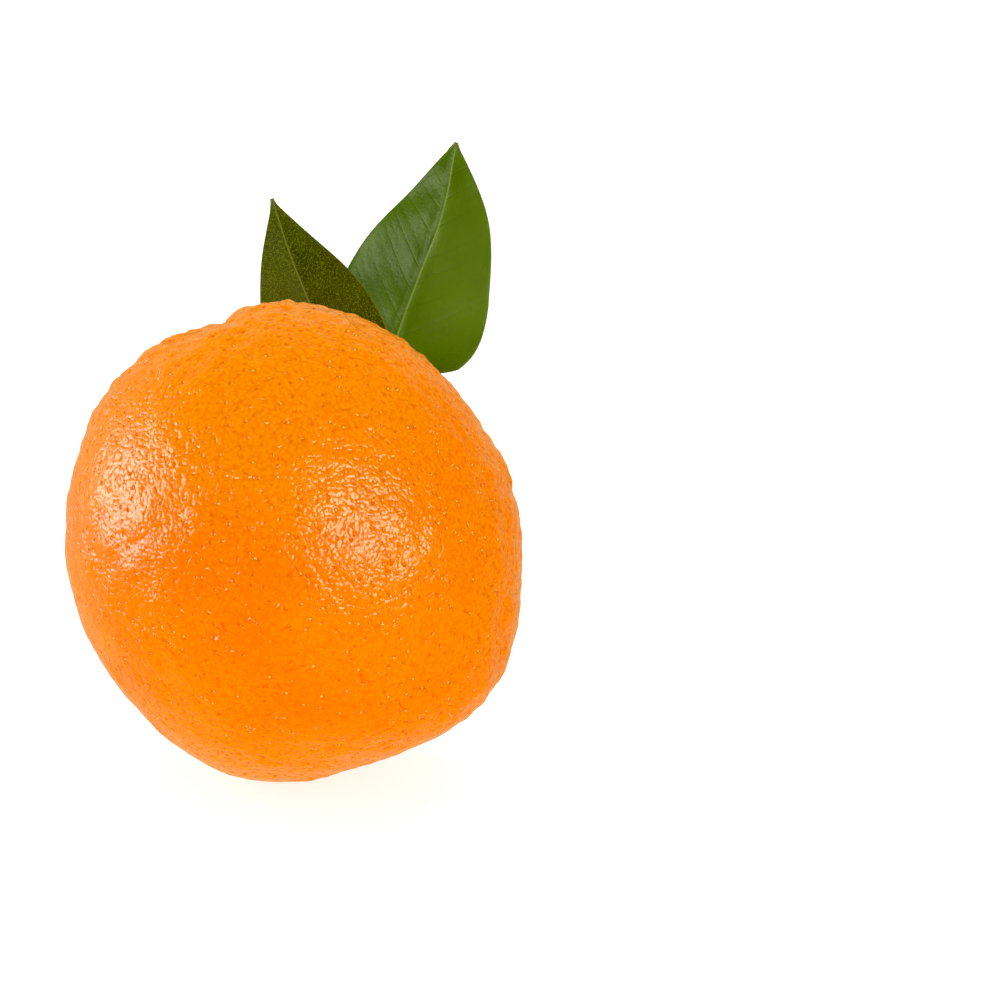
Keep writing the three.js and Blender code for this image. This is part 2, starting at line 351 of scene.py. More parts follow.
bm = bmesh.new()
bmesh.ops.create_cube(bm, size=2)
bmesh.ops.subdivide_edges(bm, edges=bm.edges[:], cuts=PEEL_CUTS, use_grid_fill=True)
for vert in bm.verts:
    outward = Vector([math.tan(axis * math.pi / 4) for axis in vert.co]).normalized()
    vert.co = fruit_tree.ray_cast(FRUIT_MIDDLE, outward)[0]
for _ in range(PEEL_SMOOTHING):
    bmesh.ops.smooth_vert(bm, verts=bm.verts, factor=0.5,
                          use_axis_x=True, use_axis_y=True, use_axis_z=True)

# The glands: an even spiral of points over the ball, each moved a little at random. One that
# comes too near another is left out.
dice = random.Random(7)
pore_points = []
pore_depths = []
spacing = math.sqrt(4 * math.pi / PORE_COUNT)
for index in range(PORE_COUNT):
    height = 1 - (2 * index + 1) / PORE_COUNT
    turn = index * GOLDEN_ANGLE
    ring = math.sqrt(1 - height * height)
    point = Vector((ring * math.cos(turn), ring * math.sin(turn), height))
    point += Vector([dice.gauss(0, PORE_STRAY / 2) * spacing for _ in range(3)])
    pore_points.append(point.normalized() * FRUIT_RADIUS)
    sunk = dice.random() < PIT_CHANCE
    pore_depths.append(dice.uniform(*(PIT_DEPTH if sunk else PORE_DEPTH)))
crowd = kdtree.KDTree(PORE_COUNT)
for index, point in enumerate(pore_points):
    crowd.insert(point, index)
crowd.balance()
left_out = set()
for index, point in enumerate(pore_points):
    near = [other for _, other, _ in crowd.find_range(point, PORE_GAP) if other < index]
    if any(other not in left_out for other in near):
        left_out.add(index)
pores = kdtree.KDTree(PORE_COUNT)
for index, point in enumerate(pore_points):
    if index not in left_out:
        pores.insert(point, index)
pores.balance()

bm.normal_update()
offsets = np.zeros((len(bm.verts), 3))
reaches = np.zeros(len(bm.verts))
sinks = np.zeros(len(bm.verts))
reliefs = []
for vert in bm.verts:
    outward = (vert.co - FRUIT_MIDDLE).normalized()
    on_ball = outward * FRUIT_RADIUS
    pore, index, reach = pores.find(on_ball)
    offsets[vert.index] = (on_ball - pore) / MM
    reaches[vert.index] = reach / MM
    sinks[vert.index] = pore_depths[index] / MM
    from_stem = math.degrees(outward.angle(STEM))
    around = math.degrees(math.atan2(outward.dot(STEM_UP), outward.x))
    shoulder = 1 - part_way(from_stem, *SHOULDER)
    wrinkled = hump(around - WRINKLED[0], WRINKLED[1])
    rough = 1 + shoulder * (SHOULDER_ROUGHNESS + WRINKLED_ROUGHNESS * wrinkled)
    relief = swell(vert.co, *SWELLS) + swell(vert.co, *LUMPS) * rough
    relief += swell(vert.co, *PEBBLES) * rough
    relief -= PORE_SHARE * pore_depths[index] * hump(reach, PORE_RADIUS)
    relief *= 1 - hump(from_stem, STEM_CALM)
    relief -= crease_depth(from_stem, around)
    from_scar = math.radians(180 - from_stem) * FRUIT_RADIUS
    relief -= STYLE_SCAR[1] * hump(from_scar, STYLE_SCAR[0])
    reliefs.append(relief)
for vert, relief in zip(bm.verts, reliefs):
    vert.co += vert.normal * relief
    vert.co.z = max(vert.co.z, 0)
peel = finished_piece("peel", bm)
keep_on_points(peel.data, "pore_offset", offsets)
keep_on_points(peel.data, "pore_reach", reaches)
keep_on_points(peel.data, "pore_depth", sinks)

peel_skin, surface = new_material("orange_peel")
where = shade(peel_skin, "TexCoord").outputs["Object"]
redder = remapped(peel_skin, clouds(peel_skin, where, TINT_CLOUDS, 3), *TINT_RED)
skin_colour = blended(peel_skin, redder, PEEL_ORANGE, PEEL_RED)
# Painted light: the skin is painted a lighter yellow near its top and near the table.
height = shade(peel_skin, "SeparateXYZ", {"Vector": where}).outputs["Z"]
crown = remapped(peel_skin, height, *CROWN_PAINTED_LIGHT)
foot = remapped(peel_skin, height, *FOOT_PAINTED_LIGHT)
painted_light_share = reckoned(peel_skin, "MAXIMUM", crown, foot)
skin_colour = blended(peel_skin, painted_light_share, skin_colour, PEEL_PAINTED_LIGHT)

offset = kept(peel_skin, "pore_offset", "Vector")
depth = kept(peel_skin, "pore_depth")
away = shade(peel_skin, "VectorMath", {0: offset}, operation="LENGTH").outputs["Value"]
own_side = remapped(peel_skin, kept(peel_skin, "pore_reach"), *GLAND_REACH)
dish = remapped(peel_skin, away, *GLAND_WALL, curve="SMOOTHSTEP")
dish = reckoned(peel_skin, "MULTIPLY", dish, own_side)
sink = reckoned(peel_skin, "MULTIPLY", dish, depth)
# The deeper the dimple, the darker: partly the gland's own tone, partly painted shade in the pit.
gland_tone_and_shade = remapped(peel_skin, sink, *GLAND_TONE_AND_SHADE_DEPTHS, to=(0, GLAND_TONE_AND_SHADE_MOST))
skin_colour = blended(peel_skin, gland_tone_and_shade, skin_colour, GLAND_TONE_AND_SHADE)

fall = cells(peel_skin, where, 1000 / DOME_SIZE, "F1")
fall = reckoned(peel_skin, "POWER", fall, 2.0)
# Painted shade: the crevices between the small domes are painted darker and redder.
crevice_shade = remapped(peel_skin, fall, *DOME_PAINTED_SHADE, to=(0, DOME_PAINTED_SHADE_SHARE))
skin_colour = blended(peel_skin, crevice_shade, skin_colour, PEEL_CREVICE_SHADE)
# Painted glint: a pale spot at the bottom of the deepest pits, standing in for light caught by
# their walls.
glint_spot = remapped(peel_skin, away, *GLINT_SPOT_RADII)
glint_depths = remapped(peel_skin, depth, *GLINT_DEPTHS, to=(0, GLINT_STRENGTH))
painted_glint = reckoned(peel_skin, "MULTIPLY", glint_spot, glint_depths)
skin_colour = blended(peel_skin, painted_glint, skin_colour, GLAND_PAINTED_GLINT)

relief = reckoned(peel_skin, "MULTIPLY", sink, PIT_STRENGTH)
relief = reckoned(peel_skin, "MULTIPLY_ADD", fall, DOME_FALL, relief)
grain = clouds(peel_skin, where, 1000 / GRAIN_SIZE, 1)
relief = reckoned(peel_skin, "MULTIPLY_ADD", grain, GRAIN_HEIGHT, relief)
mottle = clouds(peel_skin, where, GLOSS_CLOUDS, 2)
feed(peel_skin, surface, {
    "Base Color": skin_colour, "Normal": raised(peel_skin, relief, MM),
    "Roughness": remapped(peel_skin, mottle, *GLOSS_PART, to=GLOSS_ROUGHNESS),
    "Specular IOR Level": 0.20, "Subsurface Weight": FLESH_SHARE,
    "Subsurface Radius": FLESH_COLOUR, "Subsurface Scale": FLESH_DEPTH})
peel.data.materials.append(peel_skin)
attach(peel, "root")
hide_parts("fruit")


# --- Calyx ----------------------------------------------------------------------------------------
# The dry green-brown button that held the flower, a corky disc with five blunt points. It has
# grown onto the fruit in the hollow at the stem end.

CALYX_SEAT = 36.2 * MM  # from the fruit's middle, along the core, to its profile's zero height
CALYX_POINTS = 5
CALYX_RADIUS = 3.6 * MM
CALYX_REACH = 0.24  # share of the radius by which the points stand out
CALYX_THICKNESS = 1.3 * MM
CALYX_CUP = 45.0  # rise per metre of distance squared
CALYX_STEPS = 80
CALYX_PROFILE = [  # out from the middle and up, as shares of the radius and the thickness
    (0.001, -0.40), (0.30, -0.40), (0.55, -0.38), (0.78, -0.28), (0.92, -0.10), (0.985, 0.10),
    (1.00, 0.26), (0.975, 0.36), (0.92, 0.44), (0.80, 0.58), (0.66, 0.72), (0.52, 0.84),
    (0.40, 0.94), (0.28, 1.00), (0.14, 1.00), (0.001, 1.00),
]
CALYX_UPPER = 0.3 * CALYX_THICKNESS  # height above which its face is lobed and corky
POINT_LIFT = 0.10 * MM
POINT_BALANCE = 0.3  # of a lobe, at which it is neither lifted nor lowered
CORK = [(0.07 * MM, 900), (0.035 * MM, 2600)]  # height, and lumps per metre
POLE_MERGE = 0.012 * MM  # apart, at which points of a spun profile become one

# Its colours, by parts of a pattern of clouds.
CORK_BANDS = [(0.32, (0.085, 0.070, 0.022, 1)), (0.5, (0.155, 0.165, 0.045, 1)),
              (0.68, (0.26, 0.25, 0.085, 1))]
CORK_CLOUDS = 620  # per metre
CORK_GRAIN = 0.12 * MM


def turned(profile, steps):
    """A bmesh of a profile of (out, up) points spun round the Z axis, merged and closed."""
    made = bmesh.new()
    line = [made.verts.new((out, 0, up)) for out, up in profile]
    edges = [made.edges.new(pair) for pair in zip(line, line[1:])]
    bmesh.ops.spin(made, geom=line + edges, cent=(0, 0, 0), axis=(0, 0, 1), steps=steps,
                   angle=2 * math.pi, use_merge=True)
    bmesh.ops.remove_doubles(made, verts=made.verts, dist=POLE_MERGE)
    bmesh.ops.holes_fill(made, edges=made.edges)
    return made


def set_on_core(made, seat):
    """Moves a piece of the stem end, made with Z along the core, to its seat on the fruit."""
    for vert in made.verts:
        x, y, z = vert.co
        vert.co = FRUIT_MIDDLE + STEM * (seat + z) + Vector((1, 0, 0)) * x + STEM_UP * y
    # The move mirrors the piece, which turns its faces inwards, so they are turned back.
    made.normal_update()
    bmesh.ops.recalc_face_normals(made, faces=made.faces)


def banded(owner, value, stops):
    """Colours that change along a value, given as (value, colour) stops."""
    node = shade(owner, "ValToRGB", {"Fac": value})
    elements = node.color_ramp.elements
    elements[0].position, elements[0].color = stops[0]
    elements[1].position, elements[1].color = stops[-1]
    for position, colour in stops[1:-1]:
        elements.new(position).color = colour
    return node.outputs[0]


bm = turned([(out * CALYX_RADIUS, up * CALYX_THICKNESS) for out, up in CALYX_PROFILE], CALYX_STEPS)
for vert in bm.verts:
    out = math.hypot(vert.co.x, vert.co.y)
    share = out / CALYX_RADIUS
    lobe = math.cos(CALYX_POINTS * math.atan2(vert.co.y, vert.co.x))
    stretch = 1 + CALYX_REACH * lobe * share ** 2
    rise = CALYX_CUP * (out * stretch) ** 2
    if vert.co.z > CALYX_UPPER:
        rise += POINT_LIFT * share * (lobe - POINT_BALANCE)
        rise += sum(noise.noise(vert.co * per) * high for high, per in CORK) * min(share * 3, 1)
    vert.co.x *= stretch
    vert.co.y *= stretch
    vert.co.z += rise
set_on_core(bm, CALYX_SEAT)
calyx = finished_piece("calyx_button", bm)

calyx_skin, surface = new_material("calyx_cork")
where = shade(calyx_skin, "TexCoord").outputs["Object"]
patch = clouds(calyx_skin, where, CORK_CLOUDS, 5, 0.65)
feed(calyx_skin, surface, {
    "Base Color": banded(calyx_skin, patch, CORK_BANDS),
    "Normal": raised(calyx_skin, patch, CORK_GRAIN),
    "Roughness": 0.78, "Specular IOR Level": 0.25})
calyx.data.materials.append(calyx_skin)
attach(calyx, "root")
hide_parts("calyx")


# --- Stalk ----------------------------------------------------------------------------------------
# A short length of woody twig with green-brown ridged bark, clipped square at its end. It grows
# from the calyx, and swells at its foot and at the two joints that carry the leaves.

STALK_SEAT = CALYX_SEAT + 1.6 * MM
STALK_RADIUS = 1.5 * MM
STALK_LENGTH = 16 * MM
STALK_STEPS = 48
STALK_RINGS = 72
STALK_FOOT = (0.6 * MM, 1.6 * MM)  # rise and length
STALK_ROOT = 0.9 * MM  # of the foot, grown into the calyx
STALK_JOINTS = [6.1 * MM, 12.5 * MM]
JOINT_RISE = (0.35 * MM, 1.4 * MM)  # height and length
ROOT_RINGS = [0.02 * MM, 0.7 * MM, 1.5 * MM]  # radii of the rings on its hidden lower end
CUT_RINGS = [1.05 * MM, 0.55 * MM, 0.45 * MM, 0.02 * MM]  # and on the cut end
CUT_BEVEL = 0.18 * MM
CUT_CLEAR = 0.01 * MM  # below the cut, where the bark's relief stops
PITH = (0.5 * MM, 0.12 * MM)  # radius, and how far it has sunk
BARK_RIDGES = (7, 0.05 * MM, 120)  # number, height, and turn in radians per metre
BARK_LUMPS = (0.05 * MM, 1500, 0.35)  # height, number per metre, and share of it along the twig
BARK_INSET = 0.04 * MM

# Colours. The cut's bands go by the distance from the pith, as a share of CUT_WIDTH.
BARK_BANDS = [(0.34, (0.075, 0.085, 0.022, 1)), (0.70, (0.20, 0.22, 0.070, 1))]
BARK_BROWN = (0.17, 0.125, 0.055, 1)
CUT_BANDS = [(0.24, (0.26, 0.19, 0.10, 1)), (0.36, (0.60, 0.52, 0.33, 1)),
             (0.80, (0.50, 0.46, 0.22, 1)), (0.92, (0.20, 0.20, 0.07, 1))]
CUT_WIDTH = 1.6  # mm
CUT_PAINT = (15.78, 15.86)  # mm along the stalk over which the bark gives way to cut wood
FIBRE_CLOUDS = 1700  # per metre
FIBRE_STRETCH = (1, 0.22, 1)
FIBRE_GRAIN = 0.10 * MM
BROWN_CLOUDS = 260  # per metre
BROWN_PART = (0.48, 0.62)  # of the clouds over which the bark turns brown

profile = [(radius, -STALK_ROOT) for radius in ROOT_RINGS]
profile.append((STALK_RADIUS + STALK_FOOT[0], -STALK_ROOT))
for ring in range(STALK_RINGS + 1):
    along = STALK_LENGTH * ring / STALK_RINGS
    thick = STALK_RADIUS + STALK_FOOT[0] * hump(along, STALK_FOOT[1])
    thick += sum(JOINT_RISE[0] * hump(along - at, JOINT_RISE[1]) for at in STALK_JOINTS)
    if ring == STALK_RINGS:
        profile.append((thick, along - CUT_BEVEL))
        thick -= CUT_BEVEL
    profile.append((thick, along))
profile += [(radius, STALK_LENGTH) for radius in CUT_RINGS]
bm = turned(profile, STALK_STEPS)
ridges, ridge_height, ridge_turn = BARK_RIDGES
lump_height, lumps, lump_stretch = BARK_LUMPS
for vert in bm.verts:
    x, y, z = vert.co
    out = math.hypot(x, y)
    if 0 < z < STALK_LENGTH - CUT_CLEAR:
        ridge = ridge_height * math.cos(ridges * math.atan2(y, x) + ridge_turn * z)
        ridge += lump_height * noise.noise(Vector((x, y, z * lump_stretch)) * lumps)
        vert.co.x *= 1 + (ridge - BARK_INSET) / out
        vert.co.y *= 1 + (ridge - BARK_INSET) / out
    elif z > 0 and out < PITH[0]:
        vert.co.z -= PITH[1]
set_on_core(bm, STALK_SEAT)
stalk = finished_piece("stalk", bm)
from_middle = [vert.co - FRUIT_MIDDLE for vert in stalk.data.vertices]
keep_on_points(stalk.data, "along_stalk", [(co.dot(STEM) - STALK_SEAT) / MM for co in from_middle])
keep_on_points(stalk.data, "from_pith",
               [(co - STEM * co.dot(STEM)).length / MM for co in from_middle])

bark, surface = new_material("twig_bark")
where = shade(bark, "TexCoord").outputs["Object"]
stretched = shade(bark, "Mapping", {"Vector": where, "Scale": FIBRE_STRETCH}).outputs[0]
fibre = clouds(bark, stretched, FIBRE_CLOUDS, 4, 0.6)
brown = remapped(bark, clouds(bark, where, BROWN_CLOUDS, 3), *BROWN_PART)
barked = blended(bark, brown, banded(bark, fibre, BARK_BANDS), BARK_BROWN)
wood = banded(bark, remapped(bark, kept(bark, "from_pith"), 0, CUT_WIDTH), CUT_BANDS)
at_cut = remapped(bark, kept(bark, "along_stalk"), *CUT_PAINT)
feed(bark, surface, {
    "Base Color": blended(bark, at_cut, barked, wood),
    "Normal": raised(bark, fibre, FIBRE_GRAIN),
    "Roughness": 0.72, "Specular IOR Level": 0.3})
stalk.data.materials.append(bark)
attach(stalk, "root")
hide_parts("twig")


# --- Leaves ---------------------------------------------------------------------------------------
# Two leathery leaves, each one blade on a short leaf stalk that grows from a joint of the twig.
# The blade folds up along its midrib, and its side veins run out to a thin edge.

LEAF_ROWS = 200  # along the midrib
LEAF_COLUMNS = 96  # from edge to edge
MIDRIB_STEPS = 1200  # between two of the midrib's points
PETIOLE_RADIUS = 0.9 * MM
PETIOLE_ROOT = 0.85  # share of the way to the twig's middle that the leaf stalk's foot is drawn in
ROOT_SHARE = 0.08  # of the leaf's length over which it is drawn in
BLADE_THICKNESS = 0.36 * MM
BLADE_OPENING = 0.11  # share of the length over which the leaf stalk widens into the blade
BLADE_LIFT = 0.26 * MM  # of the upper face off the midrib's line
TIP_HALF_WIDTH = 0.16 * MM
EDGE_WAVES = 2.7
EDGE_TURN = (0.93, 0.10 * MM)  # share of the half width where the edge turns down, and its drop
EDGE_THIN = 0.35  # share of its thickness that the blade loses at its edge
PETIOLE_FLAT = 0.8  # 1 would round the leaf stalk fully off at its sides
BILLOWS = (0.45 * MM, 6.5 * MM)  # height and width of the blade's low swells
QUILT_HEIGHT = 0.035 * MM  # between two side veins
QUILT_FLAT = 0.8  # less than 1, so that it rises steeply from a vein
RELIEF_IN = 2.5 * MM  # from the midrib, over which the relief comes in
RELIEF_OUT = 6  # one over the share of the half width, at the edge, over which it dies away
VEIN_SLANT = 0.75  # how far towards the tip a vein goes for each step outwards
VEIN_BEND = 18  # and how much further per metre from the midrib
VEIN_STRAY = (0.14, 2.3)  # how much, and how fast, their spacing changes
MIDRIB = (0.12 * MM, 0.25 * MM)  # height and width of the rib on the upper face
MIDRIB_FADE = 0.55  # share of its height that it loses towards the tip
MIDRIB_TROUGH = (0.16 * MM, 1.1 * MM, 0.6 * MM)  # depth, distance from the rib, and width
UNDER_RIB = (0.5 * MM, 0.8 * MM)  # height and width
UNDER_VEIN = (0.10 * MM, 0.05)  # height, and width as a share of the veins' spacing
TANGENT_STEP = 0.004  # share of the length, to each side, over which its direction is taken

# A midrib's points and the half_widths, left and right, are in millimetres, and the points start
# from the fruit's middle. looks is the way that the upper face faces, base and tip shape the two
# ends of the outline, petiole is the leaf stalk's share of the length, fold is in degrees on each
# side, and wave is the edge's, in millimetres. The half that is painted lighter, as painted light,
# is given by a side of -1 for left and 1 for right.
LEAVES = {
    "leaf_left": {
        "midrib": [(-1.5, 43.9, 5.3), (-8.0, 46.6, 14.2), (-12.7, 49.8, 24.1),
                   (-18.0, 52.5, 34.0), (-22.8, 55.9, 43.9)],
        "looks": (0.4, -0.85, 0.34), "half_widths": (11.5, 11.8), "base": 0.42, "tip": 1.1,
        "petiole": 0.11, "fold": 12, "wave": 0.3, "veins": 9,
        "slot": "leaf_dark", "finish": "leaf_olive",
        # Darker than the other leaf: partly its own olive tone, partly painted shade.
        "blade": (0.046, 0.066, 0.0015, 1), "deep": (0.022, 0.034, 0.0008, 1),
        "painted_lit_half": (0.078, 0.098, 0.0020, 1), "vein": (0.10, 0.12, 0.012, 1),
        "speck": (0.19, 0.24, 0.010, 1), "rib": (0.17, 0.20, 0.030, 1),
        "roughness": 0.55, "shine": 0.05, "specks": 0.70, "painted_lit_side": -1,
        "under": (0.13, 0.17, 0.045, 1), "under_rib": (0.30, 0.34, 0.12, 1),
    },
    "leaf_right": {
        "midrib": [(-0.2, 50.3, 6.6), (-1.2, 60.6, 16.5), (0.2, 69.5, 26.1), (2.5, 77.7, 36.8),
                   (3.0, 85.2, 48.8)],
        "looks": (0.44, -0.83, 0.34), "half_widths": (13.6, 14.8), "base": 0.42, "tip": 0.95,
        "petiole": 0.11, "fold": 12, "wave": 0.4, "veins": 10,
        "slot": "leaf_bright", "finish": "leaf_green",
        "blade": (0.073, 0.146, 0.0020, 1), "deep": (0.040, 0.090, 0.0010, 1),
        "painted_lit_half": (0.130, 0.214, 0.0140, 1), "vein": (0.066, 0.125, 0.005, 1),
        "speck": (0.11, 0.19, 0.015, 1), "rib": (0.18, 0.28, 0.045, 1),
        "roughness": 0.36, "shine": 0.08, "specks": 0.4, "painted_lit_side": 1,
        "under": (0.15, 0.22, 0.055, 1), "under_rib": (0.33, 0.40, 0.14, 1),
    },
}
DRY_TIP = (0.16, 0.12, 0.03, 1)

# Patterns of the finish, per metre: slow changes, specks, fine grain, the underside's changes, and
# the net of the finest veins.
BLADE_CLOUDS = 75
SPECK_CLOUDS = 4500
FINE_CLOUDS = 1900
UNDER_CLOUDS = 130
NET_CELLS = 1150

# Where each colour comes in, from none to all, and how much of it there then is.
BLADE_PART = (0.36, 0.64)  # of the clouds
# Painted light: one half of the blade, away from its foot and its tip, is painted lighter.
PAINTED_LIT_TURN = 0.3  # mm to each side of the midrib
PAINTED_LIT_PARTS = [(0.15, 0.45), (1.0, 0.70)]  # of the leaf's length, from its foot and from its tip
PAINTED_LIT_SHARE = 0.6
VEIN_PART = (0.055, 0.012)  # of the veins' spacing, from a vein's middle
VEIN_RUN = (9.0, 1.0)  # mm from the midrib
VEIN_SHARES = (0.12, 0.45)  # at the two ends of that run
NET_PART = (0.12, 0.0)  # share of a cell, from a fine vein's middle
NET_SHARE = 0.22
SPECK_PART = (0.52, 0.64)  # of the clouds
RIB_RUN = (0.1, 1.0)  # of the leaf's length
RIB_HALVES = (0.20, 0.11)  # mm, half of the midrib's width at the two ends of that run
RIB_BLUR = 0.08  # mm
EDGE_PART = (0.24, 0.06)  # mm from the edge
EDGE_SHARE = 0.6
TIP_PART = (0.972, 0.994)  # of the leaf's length
TIP_SHARE = 0.6
UNDER_RIB_PART = (0.85, 0.5)  # mm from the midrib's middle
UNDER_DARKER = 0.78

NET_BUMP = 0.035 * MM
VEIN_BUMP = 0.06 * MM
FINE_BUMP = 0.045 * MM
UNDER_BUMP = 0.04 * MM


def smoothstep(value, low, high):
    share = np.clip((value - low) / (high - low), 0, 1)
    return share * share * (3 - 2 * share)


def midrib_line(points):
    """Many points along the centripetal curve through the midrib's points, and their distances."""
    knots = [2 * Vector(points[0]) - Vector(points[1])] + [Vector(p) for p in points]
    knots.append(2 * Vector(points[-1]) - Vector(points[-2]))
    places = []
    for a, b, c, d in zip(knots, knots[1:], knots[2:], knots[3:]):
        ta = 0
        tb = ta + (b - a).length ** 0.5
        tc = tb + (c - b).length ** 0.5
        td = tc + (d - c).length ** 0.5
        for step in range(MIDRIB_STEPS):
            t = tb + (tc - tb) * step / MIDRIB_STEPS
            ab = a * ((tb - t) / (tb - ta)) + b * ((t - ta) / (tb - ta))
            bc = b * ((tc - t) / (tc - tb)) + c * ((t - tb) / (tc - tb))
            cd = c * ((td - t) / (td - tc)) + d * ((t - tc) / (td - tc))
            abc = ab * ((tc - t) / (tc - ta)) + bc * ((t - ta) / (tc - ta))
            bcd = bc * ((td - t) / (td - tb)) + cd * ((t - tb) / (td - tb))
            places.append(abc * ((tc - t) / (tc - tb)) + bcd * ((t - tb) / (tc - tb)))
    places.append(Vector(points[-1]))
    places = np.array([tuple(p) for p in places]) * MM
    distances = np.r_[0, np.cumsum(np.linalg.norm(np.diff(places, axis=0), axis=1))]
    return places, distances


def leaf_piece(name, leaf):
    """One leaf: a flat grid laid on the folded, waved blade, then given its thickness."""
    places, distances = midrib_line(leaf["midrib"])
    total = distances[-1]
    grid = bmesh.new()
    bmesh.ops.create_grid(grid, x_segments=LEAF_COLUMNS, y_segments=LEAF_ROWS, size=1)
    flat = np.array([tuple(vert.co) for vert in grid.verts])
    across = flat[:, 0] / np.abs(flat[:, 0]).max()
    along = (flat[:, 1] / np.abs(flat[:, 1]).max() + 1) / 2
    near_edge = 1 - np.abs(across)

    def at(share):
        """Points of the midrib at shares of its length."""
        return np.stack([np.interp(share * total, distances, places[:, i]) for i in range(3)], 1)

    def bulge(distance, spread):
        return np.exp(-(distance / spread) ** 2)

    # The midrib, and at each of its points the blade's own directions.
    middle = at(along)
    ahead = np.clip(along + TANGENT_STEP, 0, 1)
    behind = np.clip(along - TANGENT_STEP, 0, 1)
    tangent = at(ahead) - at(behind)
    tangent /= np.linalg.norm(tangent, axis=1)[:, None]
    looks = np.array(leaf["looks"]) / np.linalg.norm(leaf["looks"])
    normal = looks - (tangent @ looks)[:, None] * tangent
    normal /= np.linalg.norm(normal, axis=1)[:, None]
    side = np.cross(tangent, normal)
    into_twig = np.array(STEM * Vector(places[0]).dot(STEM)) - places[0]
    drawn_in = PETIOLE_ROOT * np.clip(1 - along / ROOT_SHARE, 0, 1) ** 2
    middle += into_twig * drawn_in[:, None]

    # Its outline, fold and waved edge.
    blade = smoothstep(along, leaf["petiole"], leaf["petiole"] + BLADE_OPENING)
    in_blade = np.clip((along - leaf["petiole"]) / (1 - leaf["petiole"]), 0, 1)
    widest = leaf["base"] / (leaf["base"] + leaf["tip"])
    peak = widest ** leaf["base"] * (1 - widest) ** leaf["tip"]
    share = in_blade ** leaf["base"] * (1 - in_blade) ** leaf["tip"] / peak
    least = PETIOLE_RADIUS + (TIP_HALF_WIDTH - PETIOLE_RADIUS) * in_blade
    half = np.where(across < 0, *leaf["half_widths"]) * MM
    half = np.maximum(blade * half * share, least)
    fold = math.radians(leaf["fold"])
    out = np.abs(across) * half
    wave = leaf["wave"] * MM * across ** 2 * np.sin(2 * np.pi * EDGE_WAVES * along + 2 * across)
    lift = blade * (math.sin(fold) * out + wave)

    # Side veins leave the midrib in turn and bend towards the tip.
    phase = (along * total - out * VEIN_SLANT - VEIN_BEND * out ** 2) / (total / leaf["veins"])
    phase += np.where(across < 0, 0.5, 0.0)
    phase += VEIN_STRAY[0] * np.sin(VEIN_STRAY[1] * phase)
    vein = np.abs(phase - np.round(phase))
    quilt = QUILT_HEIGHT * np.sin(np.pi * np.clip(vein * 2, 0, 1)) ** QUILT_FLAT
    spread = np.clip(out / RELIEF_IN, 0, 1) * np.clip(near_edge * RELIEF_OUT, 0, 1)
    rib = MIDRIB[0] * bulge(out, MIDRIB[1]) * (1 - MIDRIB_FADE * in_blade)
    trough = MIDRIB_TROUGH[0] * bulge(out - MIDRIB_TROUGH[1], MIDRIB_TROUGH[2])
    edge_from, edge_drop = EDGE_TURN
    edge = edge_drop * np.clip((np.abs(across) - edge_from) / (1 - edge_from), 0, 1) ** 2
    flat_spots = middle + side * (across * half)[:, None]
    billow = np.array([swell(Vector(spot), *BILLOWS) for spot in flat_spots])
    relief = blade * (quilt * spread + rib - trough * (1 - in_blade) - edge + billow * spread)
    place = (middle + side * (across * half * np.cos(fold * blade))[:, None]
             + normal * (lift + relief + BLADE_LIFT)[:, None])
    place += np.array(FRUIT_MIDDLE)
    for vert, co in zip(grid.verts, place):
        vert.co = co
    bmesh.ops.recalc_face_normals(grid, faces=grid.faces)
    piece = finished_piece(name, grid)
    if np.array([p.normal for p in piece.data.polygons]).mean(0) @ looks < 0:
        piece.data.flip_normals()
    keep_on_points(piece.data, "leaf_pattern", np.stack([across * half / MM, phase, along], 1))
    keep_on_points(piece.data, "leaf_edge", near_edge * half / MM)

    # A thin blade on a round stalk, ribbed below.
    stalk_thickness = 2 * PETIOLE_RADIUS * np.sqrt(1 - PETIOLE_FLAT * across ** 2)
    under_rib = UNDER_RIB[0] * bulge(out, UNDER_RIB[1]) * (1 - along)
    under_vein = UNDER_VEIN[0] * bulge(vein, UNDER_VEIN[1]) * spread
    thin = 1 - EDGE_THIN * np.abs(across) ** 4
    thick = stalk_thickness + (BLADE_THICKNESS * thin + under_rib + under_vein
                               - stalk_thickness) * blade
    group = piece.vertex_groups.new(name="thickness")
    for index, value in enumerate(thick / (2 * PETIOLE_RADIUS)):
        group.add([index], float(value), "REPLACE")
    wall = piece.modifiers.new("blade", "SOLIDIFY")
    wall.thickness = 2 * PETIOLE_RADIUS
    wall.offset = -1
    wall.vertex_group = "thickness"
    wall.material_offset = 1
    wall.use_even_offset = False
    return piece


